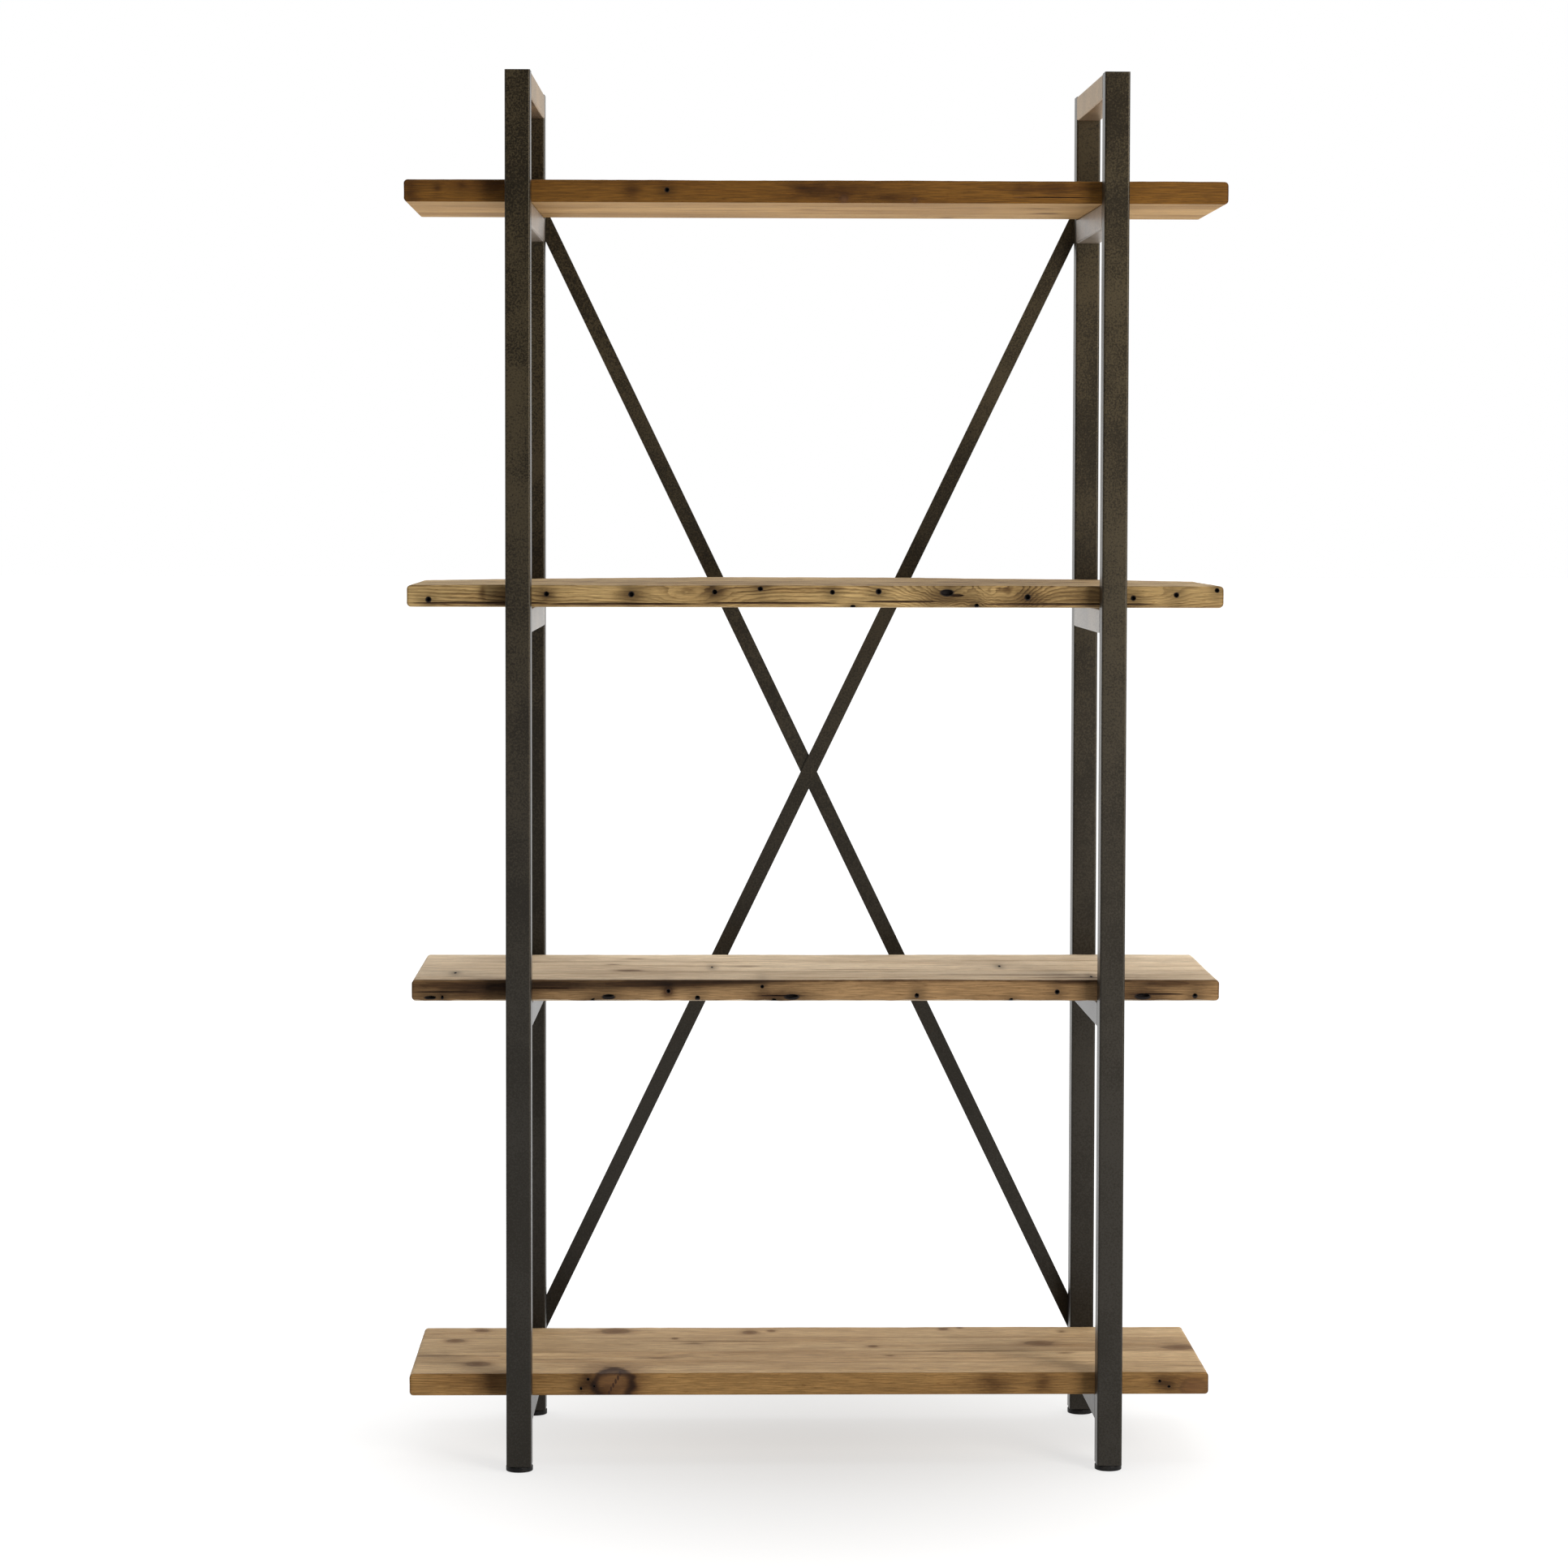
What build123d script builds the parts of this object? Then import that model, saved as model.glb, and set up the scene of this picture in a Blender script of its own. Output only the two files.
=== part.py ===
from build123d import *

import math
import os

# Open bookcase: two welded ladder frames of square steel tube, four loose plank shelves lying on
# the rungs, a crossed flat-bar brace bolted behind, four levelling feet. Millimetres, +Z up.
# Origin on the floor, centred on the whole in X and Y; the front faces -Y.

# Driving dimensions.
POST = 32.0  # square tube, outside
WALL = 1.5
CORNER = 2.5  # outside corner radius of the tube
FRAME_WIDTH = 788.0  # across the front posts, outside
DEPTH = 368.0  # front face of front post to rear face of rear post
HEIGHT = 1782.0  # floor to the top of the cap plates
CAP = 3.0  # plate closing each post
TOE = 1.0  # degrees each side frame turns inward towards the back
RUNG_Z = (60.5, 568.4, 1073.0, 1586.3)  # undersides of the rungs
FLOOR_GAP = 7.3  # floor to the tube ends
Y_SHIFT = -187.45  # puts the middle of the depth on Y 0

PLANK_THICK = 28.3
PLANK_FRONT = 33.2  # front edge of the planks, behind the front posts
PLANK_DEPTH = 301.0
PLANK_HALF = (514.0, 517.0, 520.5, 523.0)  # half lengths, lowest plank first
PLANK_ASIDE = (-5.5, 1.5, 0.0, 0.0)  # how far right of the middle each plank happens to lie
BOARD_SHARES = (  # widths of the edge-glued boards as shares of the depth, front board first
    (0.23, 0.23, 0.30, 0.24),
    (0.35, 0.38, 0.27),
    (0.34, 0.31, 0.35),
    (0.33, 0.37, 0.30),
)
END_ROUND = 5.0
EDGE_ROUND = 1.2

BRACE_Z = (104.0, 1644.0)  # bolt heights on the rear posts
BAR_WIDE = 20.0
BAR_THICK = 3.0
BAR_PAST = 12.0  # bar left beyond each hole
BAR_HOLE = 3.3
BAR_GAP = 0.9  # rear face of the post to the bar, taken by the rivet nut flange
BAR_CORNER = 3.0
BOW = 3.4  # how far the rearmost bar bends out where it passes over the other
WASHER_SEAT = 0.35  # rear face of the bar to the washer, so that the bowed bar's ends clear it
HEAD_SEAT = 0.05  # washer to the screw head

NUT_BODY = 4.5
NUT_FLANGE = 6.5
NUT_FLANGE_THICK = 0.7
NUT_LONG = 14.0
NUT_ROOM = 0.05  # between the rivet nut and its hole
M6 = 3.0
M6_BORE = 3.05
WASHER = 7.0
WASHER_THICK = 1.2
WASHER_ROOM = 0.3
HEAD = 5.3
HEAD_THICK = 3.2
HEAD_ROUND = 2.2
SOCKET = 4.0  # across flats
SOCKET_DEEP = 1.8
SCREW_LONG = 16.0

PAD = 17.25
PAD_THICK = 7.0
PAD_FOOT_ROUND = 1.0
PAD_TOP_ROUND = 1.6
COLLAR = 7.0
COLLAR_THICK = 2.2
COLLAR_Z = 2.5
COLLAR_POCKET = 7.3  # radius of the hollow that holds the collar in the pad
POCKET_Z = 2.2
POCKET_TALL = 2.8
NECK_Z = 4.0  # where the stud's bore through the pad starts
M8 = 4.0
M8_BORE = 4.05
STUD_HEX = 13.0  # across flats
HEX_TALL = 5.0
HEX_ROOM = 0.3  # top of the pad to the hex
STUD_CHAMFER = 0.8
PLATE_Z = 13.5  # underside of the tapped plate in the tube end
PLATE_THICK = 5.0
PLATE_ROOM = 0.2
STUD_TOP = 52.0

LEVELS = ("bottom", "lower", "upper", "top")


def save(name, shape):
    shape.label = name
    export_step(shape, f"parts/{name}.step")


def stand(side, shape):
    """Puts a piece drawn in a side frame's own axes (x inward from the outer face, y back)."""
    if side > 0:
        shape = mirror(shape, about=Plane.YZ)
    return Location((side * FRAME_WIDTH / 2, Y_SHIFT, 0), (0, 0, side * TOE)) * shape


def where(side, x, y):
    """World X and Y of a point given in a side frame's own axes."""
    c, s = math.cos(math.radians(TOE)), math.sin(math.radians(TOE))
    return side * (FRAME_WIDTH / 2 - x * c - y * s), Y_SHIFT + y * c - x * s


def tube(length):
    """Square tube standing on the XY plane, centred."""
    outer = RectangleRounded(POST, POST, CORNER)
    inner = RectangleRounded(POST - 2 * WALL, POST - 2 * WALL, CORNER - WALL)
    return extrude(outer - inner, length)


def rod(radius, length):
    return extrude(Circle(radius), length)


def post(rear):
    centre_y = DEPTH - POST / 2 if rear else POST / 2
    body = Pos(POST / 2, centre_y, FLOOR_GAP) * tube(HEIGHT - CAP - FLOOR_GAP)
    if rear:
        for z in BRACE_Z:
            body -= Pos(POST / 2, DEPTH, z) * Rot(90, 0, 0) * rod(NUT_BODY + NUT_ROOM, 2 * WALL)
    return body


def crossbar(z):
    """Rung or rail of tube running back between the two posts, its underside at z."""
    return Pos(POST / 2, POST, z + POST / 2) * Rot(-90, 0, 0) * tube(DEPTH - 2 * POST)


def cap(centre_y):
    plate = extrude(RectangleRounded(POST, POST, CORNER), CAP)
    return Pos(POST / 2, centre_y, HEIGHT - CAP) * plate


def frame_side(side, tag):
    for rear, place, centre_y in ((False, "front", POST / 2), (True, "rear", DEPTH - POST / 2)):
        save(f"{tag}_{place}_post", stand(side, post(rear)))
        save(f"{tag}_{place}_cap_plate", stand(side, cap(centre_y)))
    save(f"{tag}_top_rail", stand(side, crossbar(HEIGHT - POST)))
    for level, z in zip(LEVELS, RUNG_Z):
        save(f"{tag}_rung_{level}", stand(side, crossbar(z)))


def plank(index):
    """One plank of edge-glued boards lying on a pair of rungs."""
    half, z = PLANK_HALF[index], RUNG_Z[index] + POST
    aside = PLANK_ASIDE[index]
    blank = Pos(aside, Y_SHIFT + PLANK_FRONT + PLANK_DEPTH / 2, z + PLANK_THICK / 2) * Box(
        2 * half, PLANK_DEPTH, PLANK_THICK
    )
    ends = blank.edges().filter_by(Axis.Y)
    blank = fillet(ends, END_ROUND)
    long_edges = [e for e in blank.edges().filter_by(Axis.X) if e.length > half]
    blank = fillet(long_edges, EDGE_ROUND)
    y = Y_SHIFT + PLANK_FRONT
    for number, share in enumerate(BOARD_SHARES[index], 1):
        wide = share * PLANK_DEPTH
        slab = Pos(0, y + wide / 2, z + PLANK_THICK / 2) * Box(3 * half, wide, 2 * PLANK_THICK)
        save(f"plank_{LEVELS[index]}_board_{number}", blank & slab)
        y += wide


def brace_bar(left_z, right_z, bow):
    """Flat bar between the two rear posts; the bowed one clears the other at the crossing."""
    (x0, y0), (x1, _) = where(-1, POST / 2, DEPTH), where(1, POST / 2, DEPTH)
    run, rise = x1 - x0, right_z - left_z
    span = math.hypot(run, rise)
    reach = span / 2 + BAR_PAST
    front = ThreePointArc((-reach, 0), (0, bow), (reach, 0)) if bow else Line((-reach, 0), (reach, 0))
    back = front.moved(Location((0, BAR_THICK, 0)))
    sides = [Line(front @ 0, back @ 0), Line(front @ 1, back @ 1)]
    bar = extrude(make_face([front, back, *sides]), BAR_WIDE / 2, both=True)
    bar = fillet(bar.edges().filter_by(Axis.Y), BAR_CORNER)
    for x in (-span / 2, span / 2):
        bar -= Pos(x, -BAR_THICK, 0) * Rot(-90, 0, 0) * rod(BAR_HOLE, 4 * BAR_THICK)
    tilt = math.degrees(math.atan2(rise, run))
    middle = ((x0 + x1) / 2, y0 + BAR_GAP, (left_z + right_z) / 2)
    return Location(middle, (0, -tilt, 0)) * bar


def hexagon_prism(across, tall):
    return extrude(RegularPolygon(across / 2, 6, major_radius=False), tall)


def rivet_nut():
    """Drawn along +Z from the flange's outer face into the post."""
    body = rod(NUT_FLANGE, NUT_FLANGE_THICK) + rod(NUT_BODY, NUT_LONG)
    return body - rod(M6_BORE, NUT_LONG)


def washer():
    return rod(WASHER, WASHER_THICK) - rod(M6 + WASHER_ROOM, WASHER_THICK)


def brace_bolt():
    """Button-head screw, +Z from the head's seat down the shank, head behind the seat."""
    head = rod(HEAD, HEAD_THICK)
    head = fillet(head.faces().sort_by(Axis.Z)[0].edges(), HEAD_ROUND)
    head -= hexagon_prism(SOCKET, SOCKET_DEEP)
    return Pos(0, 0, -HEAD_THICK) * head + rod(M6, SCREW_LONG)


def foot_pad():
    pad = rod(PAD, PAD_THICK)
    pad = fillet(pad.faces().sort_by(Axis.Z)[0].edges(), PAD_FOOT_ROUND)
    pad = fillet(pad.faces().sort_by(Axis.Z)[-1].edges(), PAD_TOP_ROUND)
    pad -= Pos(0, 0, POCKET_Z) * rod(COLLAR_POCKET, POCKET_TALL)
    return pad - Pos(0, 0, NECK_Z) * rod(M8_BORE, PAD_THICK)


def foot_stud():
    """Threaded stud with the collar held in the pad and a spanner hex above it."""
    stud = Pos(0, 0, COLLAR_Z) * rod(COLLAR, COLLAR_THICK)
    stud += Pos(0, 0, COLLAR_Z) * rod(M8, STUD_TOP - COLLAR_Z)
    stud += Pos(0, 0, PAD_THICK + HEX_ROOM) * hexagon_prism(STUD_HEX, HEX_TALL)
    top = stud.faces().sort_by(Axis.Z)[-1].edges()
    return chamfer(top, STUD_CHAMFER)


def tapped_plate():
    side = POST - 2 * WALL - PLATE_ROOM
    plate = extrude(RectangleRounded(side, side, CORNER - WALL + PLATE_ROOM), PLATE_THICK)
    return plate - rod(M8_BORE, PLATE_THICK)


os.makedirs("parts", exist_ok=True)

for side, tag in ((-1, "left"), (1, "right")):
    frame_side(side, tag)

for index in range(len(LEVELS)):
    plank(index)

save("brace_bar_rising_right", brace_bar(BRACE_Z[0], BRACE_Z[1], 0.0))
save("brace_bar_rising_left", brace_bar(BRACE_Z[1], BRACE_Z[0], BOW))

nuts, washers, bolts, plates = [], [], [], []
for side in (-1, 1):
    for z in BRACE_Z:
        inward = Pos(POST / 2, 0, z) * Rot(90, 0, 0)
        seat = DEPTH + BAR_GAP + BAR_THICK + WASHER_SEAT
        nuts.append(stand(side, Pos(0, DEPTH + NUT_FLANGE_THICK, 0) * inward * rivet_nut()))
        washers.append(stand(side, Pos(0, seat + WASHER_THICK, 0) * inward * washer()))
        bolts.append(stand(side, Pos(0, seat + WASHER_THICK + HEAD_SEAT, 0) * inward * brace_bolt()))
    for tag, centre_y in (("front", POST / 2), ("rear", DEPTH - POST / 2)):
        name = f"{'left' if side < 0 else 'right'}_{tag}"
        plates.append(stand(side, Pos(POST / 2, centre_y, PLATE_Z) * tapped_plate()))
        save(f"{name}_foot_pad", stand(side, Pos(POST / 2, centre_y, 0) * foot_pad()))
        save(f"{name}_foot_stud", stand(side, Pos(POST / 2, centre_y, 0) * foot_stud()))
save("rivet_nuts", Compound(nuts))
save("brace_washers", Compound(washers))
save("brace_bolts", Compound(bolts))
save("foot_tapped_plates", Compound(plates))
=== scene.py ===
import bpy
import math
import random
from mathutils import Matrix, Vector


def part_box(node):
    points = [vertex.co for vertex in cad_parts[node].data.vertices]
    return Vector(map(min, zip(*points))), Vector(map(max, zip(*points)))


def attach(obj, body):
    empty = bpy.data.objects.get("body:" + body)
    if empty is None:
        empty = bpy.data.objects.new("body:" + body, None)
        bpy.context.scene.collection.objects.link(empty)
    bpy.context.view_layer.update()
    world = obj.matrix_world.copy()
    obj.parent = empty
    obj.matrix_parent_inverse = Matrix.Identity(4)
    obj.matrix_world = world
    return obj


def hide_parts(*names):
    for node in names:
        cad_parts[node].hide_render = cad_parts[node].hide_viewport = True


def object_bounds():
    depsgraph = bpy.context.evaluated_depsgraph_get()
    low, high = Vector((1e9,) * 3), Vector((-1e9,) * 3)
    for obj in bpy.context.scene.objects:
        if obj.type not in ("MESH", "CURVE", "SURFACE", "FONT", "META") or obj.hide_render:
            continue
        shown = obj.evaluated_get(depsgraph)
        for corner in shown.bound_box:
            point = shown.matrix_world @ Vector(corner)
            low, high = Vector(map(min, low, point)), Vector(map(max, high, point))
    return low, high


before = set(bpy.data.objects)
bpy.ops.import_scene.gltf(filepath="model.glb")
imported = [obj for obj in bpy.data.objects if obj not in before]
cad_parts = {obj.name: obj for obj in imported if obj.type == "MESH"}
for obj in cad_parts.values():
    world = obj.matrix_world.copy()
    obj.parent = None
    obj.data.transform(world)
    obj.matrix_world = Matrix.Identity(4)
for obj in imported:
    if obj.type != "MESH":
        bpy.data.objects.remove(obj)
cad_low, cad_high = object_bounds()

# Studio: the bookcase stands on a pale floor that glows with painted light, dimmer under the bookcase
# as a painted shadow, in front of a bright wall, with a dim room on the camera's side, so that dark
# steel stays dark from the front and catches light along its flanks.

ROOM_DIM = (0.09, 0.083, 0.075, 1)
ROOM_BRIGHT = (1.0, 1.0, 1.0, 1)
FLOOR_TONE = 0.22
# The floor glows, which is painted light, and it glows less in a soft ellipse under the bookcase, which is a
# painted shadow.
FLOOR_GLOW_IN_PAINTED_SHADOW = 0.58
FLOOR_GLOW_OUTSIDE_PAINTED_SHADOW = 0.95
FLOOR_ROUGHNESS = 0.9
FLOOR_SHEEN = 0.1
FLOOR_WIDTH = 120
PAINTED_SHADOW_SHAPE = (1.0, 0.75, 1.0)
PAINTED_SHADOW_REACH = 1.0
WALL_FADE = 0.75
WALL_LEVEL = 0.42
RIGHT_SPILL = 0.20
CEILING_SPILL = 0.25


def add_node(tree, kind, **settings):
    """A shader node with its settings and unlinked inputs given by name."""
    node = tree.nodes.new(kind)
    for key, value in settings.items():
        if key in node.inputs:
            node.inputs[key].default_value = value
        else:
            setattr(node, key, value)
    return node


def maths(tree, operation, first, second=0.0, third=0.0, clamp=False):
    """One Math node; each operand is a number or an output socket. Returns its output."""
    node = tree.nodes.new("ShaderNodeMath")
    node.operation = operation
    node.use_clamp = clamp
    for socket, operand in zip(node.inputs, (first, second, third)):
        if isinstance(operand, (int, float)):
            socket.default_value = operand
        else:
            tree.links.new(operand, socket)
    return node.outputs[0]


world = bpy.data.worlds.new("studio")
bpy.context.scene.world = world
world.use_nodes = True
sky = world.node_tree
sky.nodes.clear()
direction = add_node(sky, "ShaderNodeTexCoord")
parts = add_node(sky, "ShaderNodeSeparateXYZ")
sky.links.new(direction.outputs["Generated"], parts.inputs[0])
towards_wall = maths(sky, "MULTIPLY_ADD", parts.outputs["Y"], WALL_FADE, WALL_LEVEL, clamp=True)
from_right = maths(sky, "MULTIPLY", maths(sky, "MAXIMUM", parts.outputs["X"], 0.0), RIGHT_SPILL)
from_above = maths(sky, "MULTIPLY", maths(sky, "MAXIMUM", parts.outputs["Z"], 0.0), CEILING_SPILL)
brightness = maths(sky, "ADD", towards_wall, maths(sky, "ADD", from_right, from_above), clamp=True)
shade = add_node(sky, "ShaderNodeMix", data_type="RGBA")
sky.links.new(brightness, shade.inputs["Factor"])
shade.inputs[6].default_value = ROOM_DIM
shade.inputs[7].default_value = ROOM_BRIGHT
lit = add_node(sky, "ShaderNodeBackground")
sky.links.new(shade.outputs[2], lit.inputs["Color"])
lit.inputs["Strength"].default_value = 1.0
seen = add_node(sky, "ShaderNodeBackground", Color=(1, 1, 1, 1), Strength=1.0)
eye = add_node(sky, "ShaderNodeLightPath")
choose = add_node(sky, "ShaderNodeMixShader")
sky.links.new(eye.outputs["Is Camera Ray"], choose.inputs[0])
sky.links.new(lit.outputs[0], choose.inputs[1])
sky.links.new(seen.outputs[0], choose.inputs[2])
sky.links.new(choose.outputs[0], add_node(sky, "ShaderNodeOutputWorld").inputs[0])

floor_paint = bpy.data.materials.new("pale_glowing_floor_painted_shadow")
floor_paint.use_nodes = True
floor_shader = floor_paint.node_tree.nodes["Principled BSDF"]
floor_shader.inputs["Base Color"].default_value = (FLOOR_TONE, FLOOR_TONE, FLOOR_TONE, 1)
floor_shader.inputs["Roughness"].default_value = FLOOR_ROUGHNESS
floor_shader.inputs["Specular IOR Level"].default_value = FLOOR_SHEEN
floor_shader.inputs["Emission Color"].default_value = (1, 1, 1, 1)
paint = floor_paint.node_tree
# Painted shadow: the floor's glow fades towards the middle, under the bookcase.
painted_shadow_spread = add_node(paint, "ShaderNodeMapping")
painted_shadow_spread.inputs["Scale"].default_value = PAINTED_SHADOW_SHAPE
paint.links.new(add_node(paint, "ShaderNodeTexCoord").outputs["Object"], painted_shadow_spread.inputs["Vector"])
reach = add_node(paint, "ShaderNodeVectorMath", operation="LENGTH")
paint.links.new(painted_shadow_spread.outputs[0], reach.inputs[0])
painted_shadow_glow = add_node(paint, "ShaderNodeMapRange", interpolation_type="SMOOTHSTEP")
paint.links.new(reach.outputs["Value"], painted_shadow_glow.inputs["Value"])
painted_shadow_glow.inputs["From Max"].default_value = PAINTED_SHADOW_REACH
painted_shadow_glow.inputs["To Min"].default_value = FLOOR_GLOW_IN_PAINTED_SHADOW
painted_shadow_glow.inputs["To Max"].default_value = FLOOR_GLOW_OUTSIDE_PAINTED_SHADOW
paint.links.new(painted_shadow_glow.outputs[0], floor_shader.inputs["Emission Strength"])
bpy.ops.mesh.primitive_plane_add(size=FLOOR_WIDTH, location=(0, 0, 0))
floor = bpy.context.object
floor.name = "floor"
floor.data.materials.append(floor_paint)


def softbox(name, place, aim, width, height, watts, tint):
    """A large soft rectangular lamp pointing from place to aim."""
    lamp = bpy.data.lights.new(name, "AREA")
    lamp.shape = "RECTANGLE"
    lamp.size, lamp.size_y = width, height
    lamp.energy = watts
    lamp.color = tint
    holder = bpy.data.objects.new(name, lamp)
    bpy.context.collection.objects.link(holder)
    holder.location = place
    look = Vector(aim) - Vector(place)
    holder.rotation_euler = look.to_track_quat("-Z", "Y").to_euler()


softbox(
    "key_right", place=(2.1, -2.7, 1.4), aim=(0.2, 0, 1.0), width=1.2, height=2.2, watts=100,
    tint=(1.0, 0.95, 0.88),
)
softbox(
    "top_fill", place=(0.3, 0.2, 4.4), aim=(0, 0, 0.8), width=3.2, height=2.2, watts=70,
    tint=(1.0, 0.98, 0.95),
)

LENS_LENGTH = 97.02
SENSOR_WIDTH = 36
LENS_SHIFT = -0.0416
EYE_SIDE = -0.1462
EYE_DISTANCE = 5.3467
EYE_HEIGHT = 1.2456
PITCH, YAW, ROLL = 3.0, 1.12, 0.12

camera_data = bpy.data.cameras.new("camera")
camera = bpy.data.objects.new("camera", camera_data)
bpy.context.collection.objects.link(camera)
camera_data.lens = LENS_LENGTH
camera_data.sensor_width = SENSOR_WIDTH
camera_data.shift_y = LENS_SHIFT
camera_data.dof.use_dof = False
camera.location = (EYE_SIDE, cad_low.y - EYE_DISTANCE, EYE_HEIGHT)
camera.rotation_euler = (math.radians(90 - PITCH), math.radians(-ROLL), math.radians(-YAW))
bpy.context.scene.camera = camera
bpy.context.scene.view_settings.view_transform = "Standard"

# Side frames and brace: mild-steel square tube and flat bar, welded and ground flush, then left dark
# and sealed with a satin clear coat. The mill's mottled scale shows through, and towards the top the
# colour turns lighter and warmer, a painted warm cast of light.

STEEL_DARK = (0.0060, 0.0043, 0.0024, 1)
STEEL_LIGHT = (0.036, 0.0275, 0.0145, 1)
STEEL_COOL = (0.0155, 0.0150, 0.0145, 1)
STEEL_SHEEN = 0.22
STEEL_TINT = (1.0, 0.86, 0.64, 1)
COOL_SHADE = 0.45
LACQUER = 0.12
LACQUER_ROUGHNESS = 0.18
PATCH_SHARE = 0.40
SPECKLE_SHARE = 0.60
ROUGH_LEAST = 0.24
ROUGH_BY_PATCH = 0.16
ROUGH_BY_SPECKLE = 0.10
DRAWN_RELIEF = 0.5


def new_group(name, inputs, outputs):
    """An empty shader group; inputs and outputs map names to NodeSocket kinds and defaults."""
    group = bpy.data.node_groups.new(name, "ShaderNodeTree")
    for label, (kind, value) in inputs.items():
        socket = group.interface.new_socket(label, in_out="INPUT", socket_type="NodeSocket" + kind)
        if value is not None:
            socket.default_value = value
    for label, kind in outputs.items():
        group.interface.new_socket(label, in_out="OUTPUT", socket_type="NodeSocket" + kind)
    entry = group.nodes.new("NodeGroupInput")
    leave = group.nodes.new("NodeGroupOutput")
    return group, entry.outputs, leave.inputs


def noise(tree, vector, scale, detail=2.0, roughness=0.5, stretch=(1, 1, 1), distortion=0.0):
    """Noise value read at vector, stretched along its axes."""
    squeeze = add_node(tree, "ShaderNodeMapping")
    squeeze.inputs["Scale"].default_value = stretch
    tree.links.new(vector, squeeze.inputs["Vector"])
    cloud = add_node(
        tree, "ShaderNodeTexNoise", Scale=scale, Detail=detail, Roughness=roughness, Distortion=distortion
    )
    tree.links.new(squeeze.outputs[0], cloud.inputs["Vector"])
    return cloud.outputs["Fac"]


def ramp(tree, value, low, high, start=0.0, end=1.0):
    """Smooth step from start to end as value goes from low to high."""
    step = add_node(tree, "ShaderNodeMapRange", interpolation_type="SMOOTHSTEP")
    tree.links.new(value, step.inputs["Value"])
    for label, number in (("From Min", low), ("From Max", high), ("To Min", start), ("To Max", end)):
        step.inputs[label].default_value = number
    return step.outputs[0]


def blend(tree, factor, first, second, mode="MIX"):
    """Mixes two colours; each is a socket or a constant colour."""
    mix = add_node(tree, "ShaderNodeMix", data_type="RGBA", blend_type=mode)
    for socket, operand in ((mix.inputs[0], factor), (mix.inputs[6], first), (mix.inputs[7], second)):
        if isinstance(operand, (int, float, tuple)):
            socket.default_value = operand
        else:
            tree.links.new(operand, socket)
    return mix.outputs[2]


def place_group(tree, group, **values):
    """Puts a group in a tree; values are numbers, vectors or sockets. Returns its outputs."""
    node = tree.nodes.new("ShaderNodeGroup")
    node.node_tree = group
    for label, value in values.items():
        socket = node.inputs[label.replace("_", " ")]
        if isinstance(value, bpy.types.NodeSocket):
            tree.links.new(value, socket)
        else:
            socket.default_value = value
    return node.outputs


scale_group, given, result = new_group(
    "mill_scale",
    {"Vector": ("Vector", None), "Warm Height": ("Float", 1.4)},
    {"Tone": "Float", "Painted Warm Cast": "Float", "Roughness": "Float", "Height": "Float"},
)
patches = noise(scale_group, given["Vector"], 9.0, detail=4.0, roughness=0.6)
speckle = noise(scale_group, given["Vector"], 420.0, detail=3.0, roughness=0.7)
drawn = noise(scale_group, given["Vector"], 160.0, detail=2.0, roughness=0.6, stretch=(1, 1, 0.06))
fine = maths(scale_group, "MULTIPLY", speckle, SPECKLE_SHARE)
tone = maths(scale_group, "MULTIPLY_ADD", patches, PATCH_SHARE, fine)
scale_group.links.new(ramp(scale_group, tone, low=0.42, high=0.58), result["Tone"])
height = add_node(scale_group, "ShaderNodeSeparateXYZ")
scale_group.links.new(given["Vector"], height.inputs[0])
# Painted warm cast of light, rising with height.
climb = maths(scale_group, "DIVIDE", height.outputs["Z"], given["Warm Height"])
scale_group.links.new(ramp(scale_group, climb, low=0.25, high=1.1), result["Painted Warm Cast"])
rough = maths(scale_group, "MULTIPLY_ADD", patches, ROUGH_BY_PATCH, ROUGH_LEAST)
rough = maths(scale_group, "MULTIPLY_ADD", speckle, ROUGH_BY_SPECKLE, rough)
scale_group.links.new(rough, result["Roughness"])
relief = maths(scale_group, "MULTIPLY_ADD", drawn, DRAWN_RELIEF, speckle)
scale_group.links.new(relief, result["Height"])


def painted_steel(name, dark, light, cool, warm_height=1.4):
    """Dark clear-coated steel with mill scale in it, lighter and warmer towards the top as a painted warm
    cast of light.
    """
    material = bpy.data.materials.new(name)
    material.use_nodes = True
    tree = material.node_tree
    shader = tree.nodes["Principled BSDF"]
    place = add_node(tree, "ShaderNodeTexCoord").outputs["Object"]
    scale = place_group(tree, scale_group, Vector=place, Warm_Height=warm_height)
    painted_warm_cast = blend(tree, scale["Tone"], dark, light)
    shade = tuple(COOL_SHADE * channel for channel in cool[:3]) + (1,)
    colour = blend(tree, scale["Painted Warm Cast"], blend(tree, scale["Tone"], shade, cool), painted_warm_cast)
    tree.links.new(colour, shader.inputs["Base Color"])
    tree.links.new(scale["Roughness"], shader.inputs["Roughness"])
    shader.inputs["Specular IOR Level"].default_value = STEEL_SHEEN
    shader.inputs["Specular Tint"].default_value = STEEL_TINT
    shader.inputs["Coat Weight"].default_value = LACQUER
    shader.inputs["Coat Roughness"].default_value = LACQUER_ROUGHNESS
    bump = add_node(tree, "ShaderNodeBump", Strength=0.25, Distance=0.0004)
    tree.links.new(scale["Height"], bump.inputs["Height"])
    tree.links.new(bump.outputs[0], shader.inputs["Normal"])
    return material


def paint_nodes(material, *words):
    """Gives every CAD node whose name holds one of the words this material."""
    for name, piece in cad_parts.items():
        if any(word in name for word in words):
            piece.data.materials.clear()
            piece.data.materials.append(material)


frame_steel = painted_steel("frame_steel_dark", STEEL_DARK, STEEL_LIGHT, STEEL_COOL)
paint_nodes(frame_steel, "_post", "_cap_plate", "brace_bar")
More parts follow.
